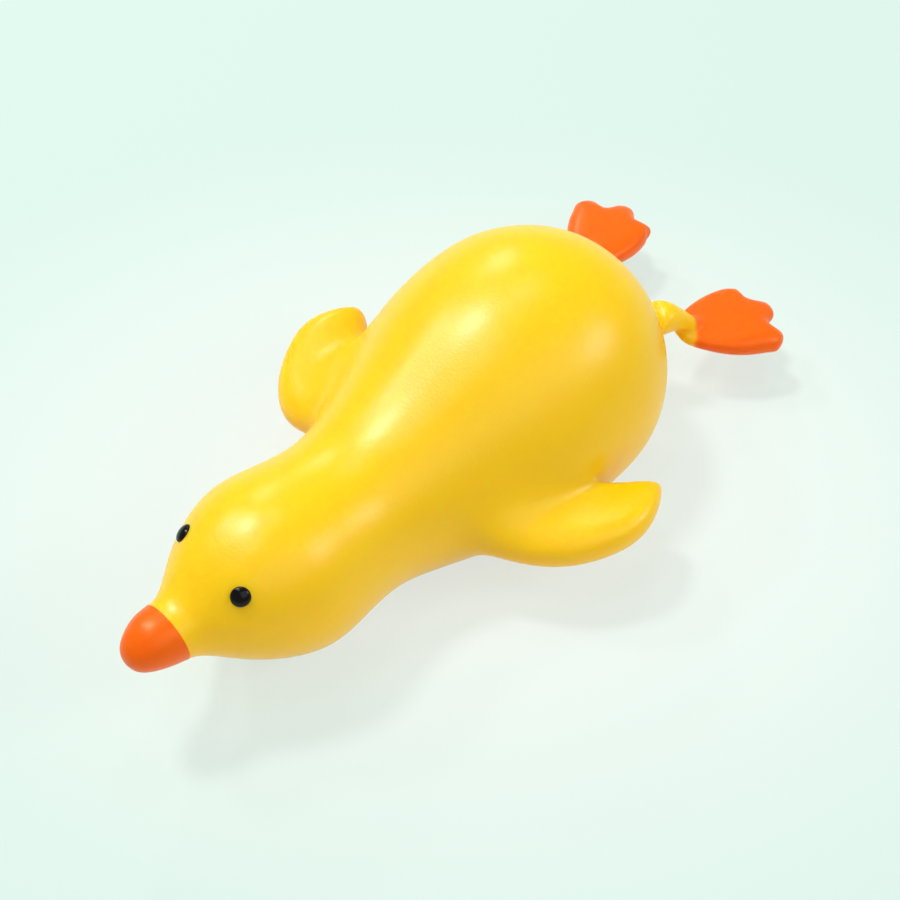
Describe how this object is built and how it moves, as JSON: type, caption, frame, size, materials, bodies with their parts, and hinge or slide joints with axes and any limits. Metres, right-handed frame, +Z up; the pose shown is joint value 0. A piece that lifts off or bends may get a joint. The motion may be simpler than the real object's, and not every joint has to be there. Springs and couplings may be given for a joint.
{
  "type": "squishy toy duck",
  "caption": "Soft rubber toy duck lying on its belly, with a plump body, stretched neck, swept-back wings, webbed feet and domed bead eyes.",
  "frame": {"origin": "middle of the duck's box from above, on the floor that the belly lies on", "axes": "-Y towards the tip of the bill, +Y towards the toes, +X towards the duck's left, +Z up"},
  "size_m": [0.0786, 0.148, 0.0448],
  "materials": {
    "soft_yellow_rubber": "satin; the bill and the feet are painted orange, with a sharp edge at the bill and a soft one at the ankles",
    "glossy_black_bead": "gloss"
  },
  "bodies": {
    "root": {"duck_body": "soft_yellow_rubber", "left_eye": "glossy_black_bead", "right_eye": "glossy_black_bead"}
  },
  "joints": []
}
